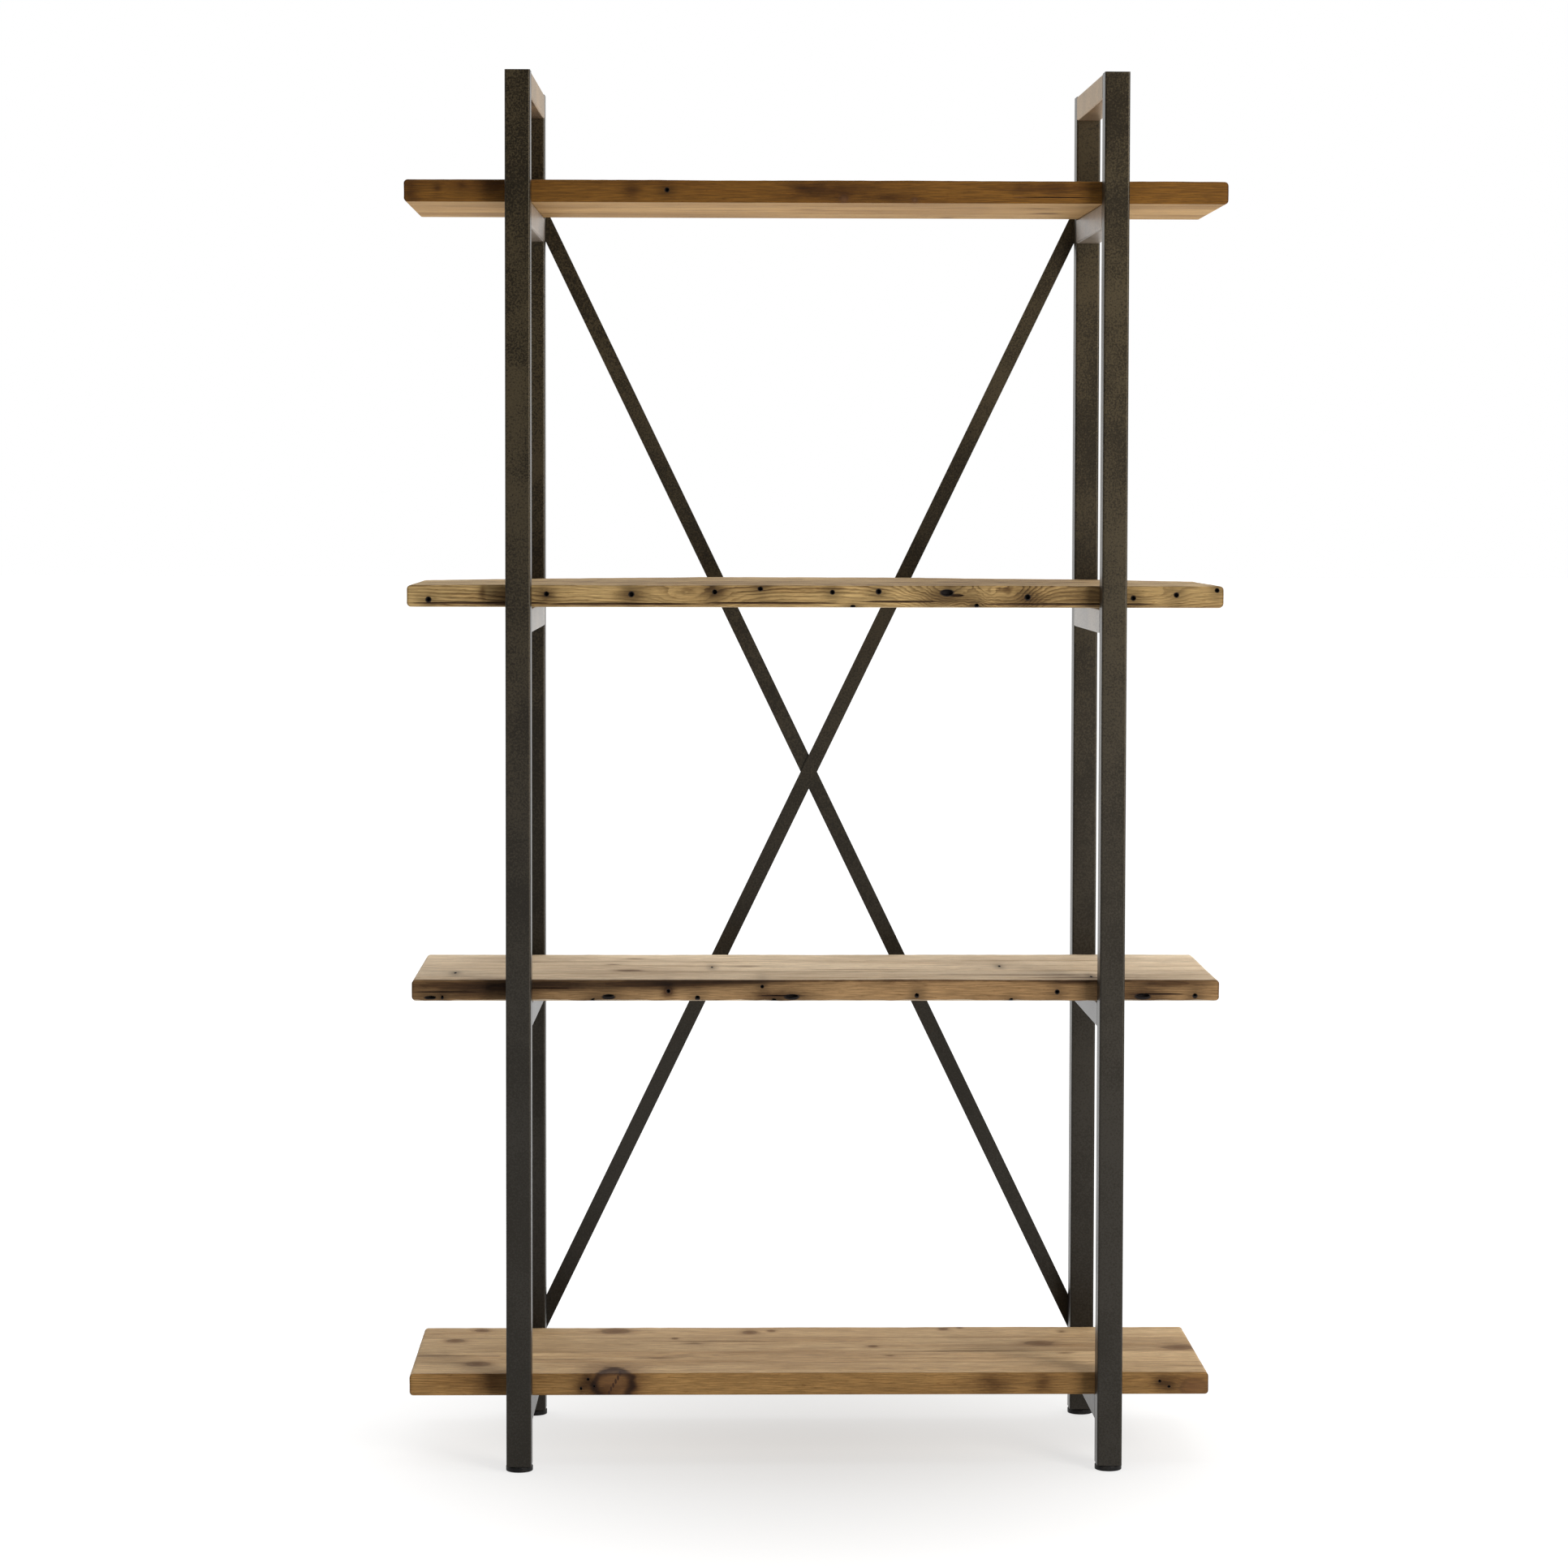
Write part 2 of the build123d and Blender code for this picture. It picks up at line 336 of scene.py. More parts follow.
# The bottom rung gets a near-black copy of the frame steel: painted shade under the bottom plank.
bottom_rung_painted_shade = painted_steel(
    "bottom_rung_steel_painted_shade", dark=(0.004, 0.004, 0.004, 1), light=(0.011, 0.010, 0.009, 1),
    cool=(0.010, 0.010, 0.010, 1),
)
paint_nodes(bottom_rung_painted_shade, "_rung_bottom")

# The upper rungs and the top rails were ground bright after welding and then sealed. Their colour turns
# warmer towards the top, and the rails' reflections are tinted warm, both a painted warm cast of light;
# the rungs of the lower plank are duller.

GROUND_DARK = (0.12, 0.085, 0.055, 1)
GROUND_LIGHT = (0.30, 0.22, 0.145, 1)
GROUND_COOL = (0.40, 0.385, 0.36, 1)
DULL_COOL = (0.13, 0.13, 0.135, 1)
GROUND_WARM_HEIGHT = 2.0
GROUND_METALLIC = 0.55
GROUND_LACQUER = 0.04
PLAIN_TINT = (1, 1, 1, 1)
# Painted warm cast on the rails' reflections.
PAINTED_WARM_CAST_TINT = (1.0, 0.80, 0.56, 1)

for name, cool, sheen, tint, words in (
    ("lower_rung_steel_ground", DULL_COOL, 0.3, PLAIN_TINT, ("_rung_lower",)),
    ("rung_steel_ground", GROUND_COOL, 0.5, PLAIN_TINT, ("_rung_upper", "_rung_top")),
    ("rail_steel_ground", GROUND_COOL, 0.3, PAINTED_WARM_CAST_TINT, ("_top_rail",)),
):
    ground = painted_steel(name, GROUND_DARK, GROUND_LIGHT, cool, GROUND_WARM_HEIGHT)
    shader = ground.node_tree.nodes["Principled BSDF"]
    shader.inputs["Metallic"].default_value = GROUND_METALLIC
    shader.inputs["Specular IOR Level"].default_value = sheen
    shader.inputs["Specular Tint"].default_value = tint
    shader.inputs["Coat Weight"].default_value = GROUND_LACQUER
    paint_nodes(ground, *words)

# Feet and fasteners: zinc-plated bolts, washers, rivet nuts and levelling studs, tapped plates of raw
# steel welded into the post ends, and pads moulded in black nylon.

ZINC_LIGHT = (0.56, 0.57, 0.58, 1)
ZINC_DARK = (0.30, 0.31, 0.32, 1)
RAW_LIGHT = (0.20, 0.19, 0.18, 1)
RAW_DARK = (0.10, 0.09, 0.08, 1)
PLATE_METALLIC = 0.9
PLATE_ROUGH_SPREAD = 0.5
NYLON_BLACK = (0.0040, 0.0040, 0.0042, 1)
NYLON_SCUFFED = (0.015, 0.014, 0.013, 1)
NYLON_SHEEN = 0.15
NYLON_ROUGHNESS = 0.42
SCUFF_ROUGHNESS = 0.25


def plated_zinc(name, light, dark, rough):
    """Thin zinc plate over turned steel: faint spangle, and dulled where it is handled."""
    material = bpy.data.materials.new(name)
    material.use_nodes = True
    tree = material.node_tree
    shader = tree.nodes["Principled BSDF"]
    place = add_node(tree, "ShaderNodeTexCoord").outputs["Object"]
    scale = place_group(tree, scale_group, Vector=place)
    tree.links.new(blend(tree, scale["Tone"], dark, light), shader.inputs["Base Color"])
    tree.links.new(
        maths(tree, "MULTIPLY_ADD", scale["Roughness"], PLATE_ROUGH_SPREAD, rough),
        shader.inputs["Roughness"],
    )
    shader.inputs["Metallic"].default_value = PLATE_METALLIC
    bump = add_node(tree, "ShaderNodeBump", Strength=0.15, Distance=0.0002)
    tree.links.new(scale["Height"], bump.inputs["Height"])
    tree.links.new(bump.outputs[0], shader.inputs["Normal"])
    return material


paint_nodes(
    plated_zinc("zinc_plate", ZINC_LIGHT, ZINC_DARK, rough=0.12),
    "rivet_nuts", "brace_washers", "brace_bolts", "_foot_stud",
)
paint_nodes(plated_zinc("raw_plate", RAW_LIGHT, RAW_DARK, rough=0.30), "foot_tapped_plates")
nylon = bpy.data.materials.new("black_nylon")
nylon.use_nodes = True
nylon_tree = nylon.node_tree
nylon_shader = nylon_tree.nodes["Principled BSDF"]
nylon_place = add_node(nylon_tree, "ShaderNodeTexCoord").outputs["Object"]
scratches = noise(nylon_tree, nylon_place, 140.0, detail=4.0, roughness=0.65)
scuffs = ramp(nylon_tree, scratches, low=0.42, high=0.72)
nylon_tree.links.new(
    blend(nylon_tree, scuffs, NYLON_BLACK, NYLON_SCUFFED), nylon_shader.inputs["Base Color"]
)
worn = maths(nylon_tree, "MULTIPLY_ADD", scuffs, SCUFF_ROUGHNESS, NYLON_ROUGHNESS)
nylon_tree.links.new(worn, nylon_shader.inputs["Roughness"])
spark = add_node(nylon_tree, "ShaderNodeBump", Strength=0.2, Distance=0.0002)
sparkle = noise(nylon_tree, nylon_place, 1800.0, detail=2.0, roughness=0.5)
nylon_tree.links.new(sparkle, spark.inputs["Height"])
nylon_tree.links.new(spark.outputs[0], nylon_shader.inputs["Normal"])
nylon_shader.inputs["Specular IOR Level"].default_value = NYLON_SHEEN
paint_nodes(nylon, "_foot_pad")

# Bottom plank, and the way all four planks are made: old softwood boards edge-glued side by side,
# sanded on their faces, eased at their edges and sealed matt. Nail holes, knots and wane were kept.

GRAIN_STEP = 0.0035
END_ROUND = 0.005
RIM = 0.007
STRIP = 0.004
LONG_EDGE_ROUND = 0.0014
GLUE_EASE = 0.0003
KNOT_BROWN = (0.115, 0.058, 0.026, 1)
KNOT_DARK_AND_CRACK_SHADE = (0.038, 0.018, 0.010, 1)
IRON_BLACK_AND_HOLE_SHADE = (0.010, 0.008, 0.008, 1)
RUNG_CLEARANCE = 0.0002
NO_SEAM = 9.0
RING_WIDTH = 0.0032
RING_WANDER = 0.050
RING_RIPPLE = 0.0085
HALO_FALL = -0.55
MARK_KINDS = ("knots", "ringed_knots", "swirls", "nails", "checks", "hair_cracks", "wane", "stains")

rings_group, given, result = new_group(
    "growth_rings",
    {
        "Vector": ("Vector", None),
        "Pith Depth": ("Float", 0.0),
        "Pith Height": ("Float", 0.0),
        "Swell": ("Float", 0.0),
    },
    {"Late": "Float", "Fibre": "Float", "Streak": "Float"},
)
wander = noise(rings_group, given["Vector"], 5.0, detail=3.0, stretch=(0.35, 1.0, 1.0))
ripple = noise(rings_group, given["Vector"], 34.0, detail=4.0, roughness=0.60, stretch=(0.30, 1.0, 1.0))
split = add_node(rings_group, "ShaderNodeSeparateXYZ")
rings_group.links.new(given["Vector"], split.inputs[0])
across = maths(rings_group, "SUBTRACT", split.outputs["Y"], given["Pith Depth"])
above = maths(rings_group, "SUBTRACT", split.outputs["Z"], given["Pith Height"])
squared = maths(
    rings_group, "MULTIPLY_ADD", across, across, maths(rings_group, "MULTIPLY", above, above)
)
radius = maths(rings_group, "MULTIPLY_ADD", wander, RING_WANDER, maths(rings_group, "SQRT", squared))
radius = maths(rings_group, "MULTIPLY_ADD", ripple, RING_RIPPLE, radius)
radius = maths(rings_group, "ADD", radius, given["Swell"])
ring = maths(rings_group, "FRACT", maths(rings_group, "DIVIDE", radius, RING_WIDTH))
rise = ramp(rings_group, ring, low=0.25, high=0.90)
fall = ramp(rings_group, ring, low=0.90, high=1.0, start=1.0, end=0.0)
rings_group.links.new(maths(rings_group, "MULTIPLY", rise, fall), result["Late"])
fibres = noise(rings_group, given["Vector"], 900.0, detail=3.0, roughness=0.65, stretch=(0.035, 1.0, 1.0))
rings_group.links.new(fibres, result["Fibre"])
streaks = noise(rings_group, given["Vector"], 36.0, detail=4.0, roughness=0.62, stretch=(0.10, 1.0, 1.0))
rings_group.links.new(streaks, result["Streak"])

spot_group, given, result = new_group(
    "spot",
    {
        "Vector": ("Vector", None),
        "Centre": ("Vector", None),
        "Size": ("Vector", (0.01, 0.01, 0.01)),
        "Fray": ("Float", 0.0),
    },
    {"Core": "Float", "Rim": "Float", "Halo": "Float"},
)
offset = add_node(spot_group, "ShaderNodeVectorMath", operation="SUBTRACT")
spot_group.links.new(given["Vector"], offset.inputs[0])
spot_group.links.new(given["Centre"], offset.inputs[1])
shrink = add_node(spot_group, "ShaderNodeVectorMath", operation="DIVIDE")
spot_group.links.new(offset.outputs[0], shrink.inputs[0])
spot_group.links.new(given["Size"], shrink.inputs[1])
length = add_node(spot_group, "ShaderNodeVectorMath", operation="LENGTH")
spot_group.links.new(shrink.outputs[0], length.inputs[0])
reach = maths(spot_group, "ADD", length.outputs["Value"], given["Fray"])
core = ramp(spot_group, reach, low=0.75, high=1.15, start=1.0, end=0.0)
spot_group.links.new(core, result["Core"])
rim_in = ramp(spot_group, reach, low=0.55, high=0.88)
rim_out = ramp(spot_group, reach, low=0.95, high=1.20, start=1.0, end=0.0)
spot_group.links.new(maths(spot_group, "MULTIPLY", rim_in, rim_out), result["Rim"])
falling = maths(spot_group, "MULTIPLY", maths(spot_group, "MULTIPLY", reach, reach), HALO_FALL)
spot_group.links.new(maths(spot_group, "EXPONENT", falling), result["Halo"])

edge_group, given, result = new_group(
    "plank_edges",
    {
        "Vector": ("Vector", None),
        "Low": ("Vector", None),
        "High": ("Vector", None),
        "Seam Front": ("Float", -NO_SEAM),
        "Seam Rear": ("Float", NO_SEAM),
    },
    {"Front": "Float", "End": "Float", "Seam": "Float"},
)
gaps = []
for first, second in (("Vector", "Low"), ("High", "Vector")):
    gap = add_node(edge_group, "ShaderNodeVectorMath", operation="SUBTRACT")
    edge_group.links.new(given[first], gap.inputs[0])
    edge_group.links.new(given[second], gap.inputs[1])
    size = add_node(edge_group, "ShaderNodeVectorMath", operation="ABSOLUTE")
    edge_group.links.new(gap.outputs[0], size.inputs[0])
    gaps.append(size.outputs[0])
least = add_node(edge_group, "ShaderNodeVectorMath", operation="MINIMUM")
for socket, gap in zip(least.inputs, gaps):
    edge_group.links.new(gap, socket)
axes = add_node(edge_group, "ShaderNodeSeparateXYZ")
edge_group.links.new(least.outputs[0], axes.inputs[0])
end_grain = ramp(edge_group, axes.outputs["X"], low=0.0010, high=0.0030, start=1.0, end=0.0)
edge_group.links.new(end_grain, result["End"])
from_front = add_node(edge_group, "ShaderNodeSeparateXYZ")
edge_group.links.new(gaps[0], from_front.inputs[0])
front_edge = ramp(edge_group, from_front.outputs["Y"], low=0.0012, high=0.0040, start=1.0, end=0.0)
edge_group.links.new(front_edge, result["Front"])
here = add_node(edge_group, "ShaderNodeSeparateXYZ")
edge_group.links.new(given["Vector"], here.inputs[0])
to_front, to_rear = (
    maths(edge_group, "ABSOLUTE", maths(edge_group, "SUBTRACT", here.outputs["Y"], given[seam]))
    for seam in ("Seam Front", "Seam Rear")
)
to_seam = maths(edge_group, "MINIMUM", to_front, to_rear)
groove = ramp(edge_group, to_seam, low=0.0003, high=0.0012, start=1.0, end=0.0)
edge_group.links.new(groove, result["Seam"])

STREAK_TINT = (0.62, 0.52, 0.42, 1)
CLOUD_TINT = (0.74, 0.70, 0.66, 1)
PORE_TINT = (0.50, 0.40, 0.30, 1)
END_TINT = (0.66, 0.60, 0.52, 1)
KNOT_HALO_TINT = (0.42, 0.30, 0.22, 1)
STAIN_TINT = (0.34, 0.28, 0.24, 1)
WANE_TINT = (0.20, 0.155, 0.125, 1)
IRON_TINT = (0.34, 0.32, 0.31, 1)
KNOT_SWELL = 0.9
SWIRL_SWELL = 1.1
KNOT_HALO = 0.75
KNOT_HEART = 0.70
STAIN_STRENGTH = 0.85
WANE_STRENGTH = 0.92
CRACK_PAINTED_SHADE = 0.95
RUST_STRENGTH = 0.70
RUST_REACH = 0.12
SEAM_STRENGTH = 0.60
HOLE_SHADE_SPREAD = 1.25
HOLE_SHADE_REACH = 3
WOOD_ROUGHNESS = 0.74
LATE_POLISH = -0.10
FIBRE_ROUGHNESS = 0.08
WOOD_SHEEN = 0.12
LATE_RELIEF = 0.5
FIBRE_RELIEF = 0.9
FRAY_LOBES = 0.7
FRAY_FINE = 0.25
STAIN_FRAY = 1.9


def softwood(name, box, seams, tones, edge_tint, pith, marks, grain, slide):
    """One board's wood. box is its plank's corners; seams are the depths of its glue lines; tones are
    its early and late wood; marks has a list of (centre, size) pairs for each of the MARK_KINDS; grain
    is how strongly the rings show, and slide shifts them."""
    material = bpy.data.materials.new(name)
    material.use_nodes = True
    tree = material.node_tree
    shader = tree.nodes["Principled BSDF"]
    place = add_node(tree, "ShaderNodeTexCoord").outputs["Object"]
    shifted = add_node(tree, "ShaderNodeMapping")
    shifted.inputs["Location"].default_value = (slide, 0, 0)
    tree.links.new(place, shifted.inputs["Vector"])
    grain_place = shifted.outputs[0]
    ragged = noise(tree, grain_place, 110.0, detail=4.0, roughness=0.62, stretch=(0.4, 1, 1))
    ragged = maths(tree, "SUBTRACT", ragged, 0.5)
    lobed = noise(tree, grain_place, 38.0, detail=3.0, roughness=0.55, stretch=(0.7, 1, 1))
    lobed = maths(tree, "SUBTRACT", lobed, 0.5)
    knot_fray = maths(tree, "MULTIPLY_ADD", ragged, FRAY_FINE, maths(tree, "MULTIPLY", lobed, FRAY_LOBES))
    stain_fray = maths(tree, "MULTIPLY", ragged, STAIN_FRAY)

    def spots(marks, fray):
        return [place_group(tree, spot_group, Vector=place, Centre=c, Size=s, Fray=fray) for c, s in marks]

    # Stretches each hole's dark core down the hole and a little wider: painted shade inside the hole.
    def painted_shade_to_the_bottom(holes):
        return [
            (centre, (HOLE_SHADE_SPREAD * size[0], HOLE_SHADE_REACH * size[1], HOLE_SHADE_SPREAD * size[2]))
            for centre, size in holes
        ]

    def tinted(colour, tint, factor=1.0):
        return blend(tree, factor, colour, blend(tree, 1.0, colour, tint, "MULTIPLY"))

    def part(mask, strength, clamp=True):
        return maths(tree, "MULTIPLY", mask, strength, clamp=clamp)

    knots = marks["knots"] + marks["ringed_knots"]
    knot_spots = spots(knots, knot_fray)
    swell = 0.0
    for spot, (centre, size) in zip(spots(marks["swirls"], lobed), marks["swirls"]):
        swell = maths(tree, "MULTIPLY_ADD", spot["Halo"], SWIRL_SWELL * size[2], swell)
    for spot, (centre, size) in zip(knot_spots, knots):
        swell = maths(tree, "MULTIPLY_ADD", spot["Halo"], KNOT_SWELL * size[2], swell)
    rings = place_group(
        tree, rings_group, Vector=grain_place, Pith_Depth=pith[0], Pith_Height=pith[1], Swell=swell
    )
    edges = place_group(
        tree, edge_group, Vector=place, Low=tuple(box[0]), High=tuple(box[1]), Seam_Front=seams[0],
        Seam_Rear=seams[1],
    )
    early, late = tones
    ring_strength = ramp(tree, rings["Streak"], low=0.34, high=0.66, start=0.25 * grain, end=grain)
    colour = blend(tree, part(rings["Late"], ring_strength, clamp=False), early, late)
    colour = tinted(colour, STREAK_TINT, ramp(tree, rings["Streak"], low=0.48, high=0.72, end=0.55))
    clouds = noise(tree, grain_place, 7.0, detail=3.0, roughness=0.55, stretch=(0.45, 1, 1))
    colour = tinted(colour, CLOUD_TINT, ramp(tree, clouds, low=0.32, high=0.70))
    fibre_tone = add_node(tree, "ShaderNodeCombineColor")
    fibre_value = ramp(tree, rings["Fibre"], low=0.32, high=0.70, start=0.66, end=1.22)
    for socket in fibre_tone.inputs:
        tree.links.new(fibre_value, socket)
    colour = blend(tree, 1.0, colour, fibre_tone.outputs[0], "MULTIPLY")
    pores = noise(tree, grain_place, 420.0, detail=3.0, roughness=0.7, stretch=(0.22, 1, 1))
    colour = tinted(colour, PORE_TINT, ramp(tree, pores, low=0.56, high=0.74, end=0.50))
    colour = tinted(colour, edge_tint, edges["Front"])
    colour = tinted(colour, END_TINT, edges["End"])
    for count, spot in enumerate(knot_spots):
        ringed = count >= len(marks["knots"])
        colour = tinted(colour, KNOT_HALO_TINT, part(spot["Halo"], KNOT_HALO))
        heart = maths(tree, "POWER", spot["Halo"], 1.0 if ringed else 1.6)
        colour = blend(tree, part(heart, KNOT_HEART), colour, KNOT_BROWN)
        rim = part(spot["Rim"], 0.92 if ringed else 0.25, clamp=False)
        colour = blend(tree, rim, colour, KNOT_DARK_AND_CRACK_SHADE)
    for spot in spots(marks["stains"], stain_fray):
        colour = tinted(colour, STAIN_TINT, part(spot["Halo"], STAIN_STRENGTH))
    for spot in spots(marks["wane"], knot_fray):
        bark = maths(tree, "MAXIMUM", spot["Core"], maths(tree, "POWER", spot["Halo"], 0.5))
        colour = tinted(colour, WANE_TINT, part(bark, WANE_STRENGTH))
    # Checks and hair cracks get a dark core: painted shade inside the cracks.
    for spot in spots(painted_shade_to_the_bottom(marks["checks"]) + marks["hair_cracks"], knot_fray):
        colour = blend(tree, part(spot["Core"], CRACK_PAINTED_SHADE, clamp=False), colour, KNOT_DARK_AND_CRACK_SHADE)
    # Nail holes: rust bleed, then a black core that is iron staining and painted shade down the hole.
    for spot in spots(painted_shade_to_the_bottom(marks["nails"]), knot_fray):
        bleed = maths(tree, "POWER", spot["Halo"], RUST_REACH)
        colour = tinted(colour, IRON_TINT, part(bleed, RUST_STRENGTH))
        colour = blend(tree, spot["Core"], colour, IRON_BLACK_AND_HOLE_SHADE)
    colour = blend(tree, part(edges["Seam"], SEAM_STRENGTH, clamp=False), colour, KNOT_DARK_AND_CRACK_SHADE)
    tree.links.new(colour, shader.inputs["Base Color"])
    gloss = maths(tree, "MULTIPLY_ADD", rings["Late"], LATE_POLISH, WOOD_ROUGHNESS)
    gloss = maths(tree, "MULTIPLY_ADD", rings["Fibre"], FIBRE_ROUGHNESS, gloss)
    tree.links.new(gloss, shader.inputs["Roughness"])
    shader.inputs["Specular IOR Level"].default_value = WOOD_SHEEN
    fibre_relief = maths(tree, "MULTIPLY", rings["Fibre"], FIBRE_RELIEF)
    relief = maths(tree, "MULTIPLY_ADD", rings["Late"], LATE_RELIEF, fibre_relief)
    bump = add_node(tree, "ShaderNodeBump", Strength=0.5, Distance=0.0005)
    tree.links.new(relief, bump.inputs["Height"])
    tree.links.new(bump.outputs[0], shader.inputs["Normal"])
    return material


SAME_PLACE = 1e-6
SUBDIVIDE_OVER = RIM + 1e-4
SHARP_CREASE = math.radians(50)
SMOOTH_UNDER = math.radians(40)
SWAY_DEPTH = 0.0012
WEAR_DEPTH = 0.0006
FACE_FADE = 0.008
CHIP_DEEP = 0.012
CHIP_TALL = 0.014
UNDERSIDE_SKIN = 0.0001
PLANK_THICK = 28.3
TOP_SKIN = 0.4
FACE_MARK_TALL = 7


def apply_modifier(piece, kind, **settings):
    """Adds a modifier with its settings and applies it."""
    modifier = piece.modifiers.new(kind.lower(), kind)
    for key, value in settings.items():
        setattr(modifier, key, value)
    bpy.context.view_layer.objects.active = piece
    bpy.ops.object.modifier_apply(modifier=modifier.name)


def select_edges(piece, wanted):
    """In edit mode, leaves selected just the edges for which wanted(first, second) is true."""
    bpy.ops.mesh.select_mode(type="EDGE")
    bpy.ops.mesh.select_all(action="DESELECT")
    bpy.ops.object.mode_set(mode="OBJECT")
    points = piece.data.vertices
    for edge in piece.data.edges:
        edge.select = wanted(*(points[i].co for i in edge.vertices))
    bpy.ops.object.mode_set(mode="EDIT")


def lies_along(axis):
    """A test for edges parallel to one axis."""
    across = [i for i in range(3) if i != axis]
    return lambda a, b: all(abs(a[i] - b[i]) < SAME_PLACE for i in across)


def cloud_texture(name, size, depth):
    """Soft noise for Displace, its lumps the given size in metres."""
    texture = bpy.data.textures.new(name, "CLOUDS")
    texture.noise_scale = size
    texture.noise_depth = depth
    return texture


sway = cloud_texture("board_sway", 0.19, 1)
wear = cloud_texture("board_wear", 0.016, 2)
nibble = cloud_texture("edge_nibble", 0.022, 3)


def drill_tool(marks):
    """Joins egg-shaped cutters, each (centre, half sizes), into one object for a Boolean."""
    bpy.ops.object.select_all(action="DESELECT")
    eggs = []
    for centre, half in marks:
        bpy.ops.mesh.primitive_uv_sphere_add(segments=12, ring_count=8, radius=1, location=centre)
        bpy.context.object.scale = half
        eggs.append(bpy.context.object)
    for egg in eggs:
        egg.select_set(True)
    bpy.context.view_layer.objects.active = eggs[0]
    if len(eggs) > 1:
        bpy.ops.object.join()
    bpy.ops.object.transform_apply(location=True, rotation=True, scale=True)
    return bpy.context.object


def saw_board(node, ease_front, ease_rear, cuts, ragged):
    """One board cut to its CAD box: ends rounded, long edges eased, faces slightly worn. cuts are lists
    of holes to drill, none overlapping within a list; ragged is how far the front lower edge is chipped."""
    low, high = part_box(node)
    bpy.ops.object.select_all(action="DESELECT")
    bpy.ops.mesh.primitive_cube_add(size=1, location=(low + high) / 2)
    board = bpy.context.object
    board.scale = high - low
    bpy.ops.object.transform_apply(location=True, rotation=True, scale=True)
    board.name = node + "_worn"
    bpy.ops.object.mode_set(mode="EDIT")
    for axis, inset in enumerate((RIM, STRIP, RIM)):
        normal = [float(i == axis) for i in range(3)]
        for cut in (low[axis] + inset, high[axis] - inset):
            bpy.ops.mesh.select_all(action="SELECT")
            bpy.ops.mesh.bisect(plane_co=[cut * n for n in normal], plane_no=normal)
    for axis in range(3):
        along = lies_along(axis)
        select_edges(board, lambda a, b: along(a, b) and (a - b).length > SUBDIVIDE_OVER)
        bpy.ops.mesh.subdivide(number_cuts=max(2, round((high[axis] - low[axis]) / GRAIN_STEP)))
    along_depth = lies_along(1)

    def at_corner(a, b):
        at_end = min(abs(a.x - low.x), abs(a.x - high.x)) < SAME_PLACE
        at_face = min(abs(a.z - low.z), abs(a.z - high.z)) < SAME_PLACE
        return along_depth(a, b) and at_end and at_face

    select_edges(board, at_corner)
    bpy.ops.mesh.bevel(offset=END_ROUND, segments=4)
    for depth, ease in ((low.y, ease_front), (high.y, ease_rear)):
        bpy.ops.mesh.select_all(action="DESELECT")
        bpy.ops.mesh.edges_select_sharp(sharpness=SHARP_CREASE)
        bpy.ops.object.mode_set(mode="OBJECT")
        points = board.data.vertices
        for edge in board.data.edges:
            if any(abs(points[i].co.y - depth) > SAME_PLACE for i in edge.vertices):
                edge.select = False
        bpy.ops.object.mode_set(mode="EDIT")
        bpy.ops.mesh.bevel(offset=ease, segments=2)
    bpy.ops.object.mode_set(mode="OBJECT")
    for cut in filter(None, cuts):
        tool = drill_tool(cut)
        apply_modifier(board, "BOOLEAN", object=tool, operation="DIFFERENCE", solver="EXACT")
        bpy.data.objects.remove(tool)
    weigh_points(board, "worn_sides", lambda p: min(1, (p.z - low.z) / FACE_FADE))
    for texture, depth, towards in ((sway, SWAY_DEPTH, "Z"), (wear, WEAR_DEPTH, "NORMAL")):
        apply_modifier(
            board, "DISPLACE", texture=texture, strength=depth, direction=towards,
            vertex_group="worn_sides", texture_coords="LOCAL",
        )
    weigh_points(board, "underside", lambda p: float(p.z < low.z + UNDERSIDE_SKIN))
    apply_modifier(
        board, "DISPLACE", strength=RUNG_CLEARANCE, mid_level=0, direction="Z", vertex_group="underside"
    )
    if ragged:
        weigh_points(board, "lower_edge", lambda p: max(0, 1 - (p.y - low.y) / CHIP_DEEP) * max(
            0, 1 - (p.z - low.z) / CHIP_TALL))
        apply_modifier(
            board, "DISPLACE", texture=nibble, strength=ragged, mid_level=0, direction="Z",
            vertex_group="lower_edge", texture_coords="LOCAL",
        )
    return board


def weigh_points(piece, name, weight):
    """Gives a piece a vertex group whose weights come from each point's place."""
    group = piece.vertex_groups.new(name=name)
    for point in piece.data.vertices:
        amount = weight(point.co)
        if amount > 0:
            group.add([point.index], amount, "REPLACE")


def on_edge(deep, *marks):
    """Marks on a plank's front edge, each (along, up, half length, half height) in millimetres."""
    return [(x, 0, up, long, deep, tall) for x, up, long, tall in marks]


def on_top(*marks):
    """Marks on a plank's top, each (along, back, half length, half width) in millimetres."""
    return [(x, back, PLANK_THICK - TOP_SKIN, long, wide, FACE_MARK_TALL) for x, back, long, wide in marks]


def underneath(*marks):
    """Marks on a plank's underside, each (along, back, half length, half width) in millimetres."""
    return [(x, back, 0, long, wide, FACE_MARK_TALL) for x, back, long, wide in marks]


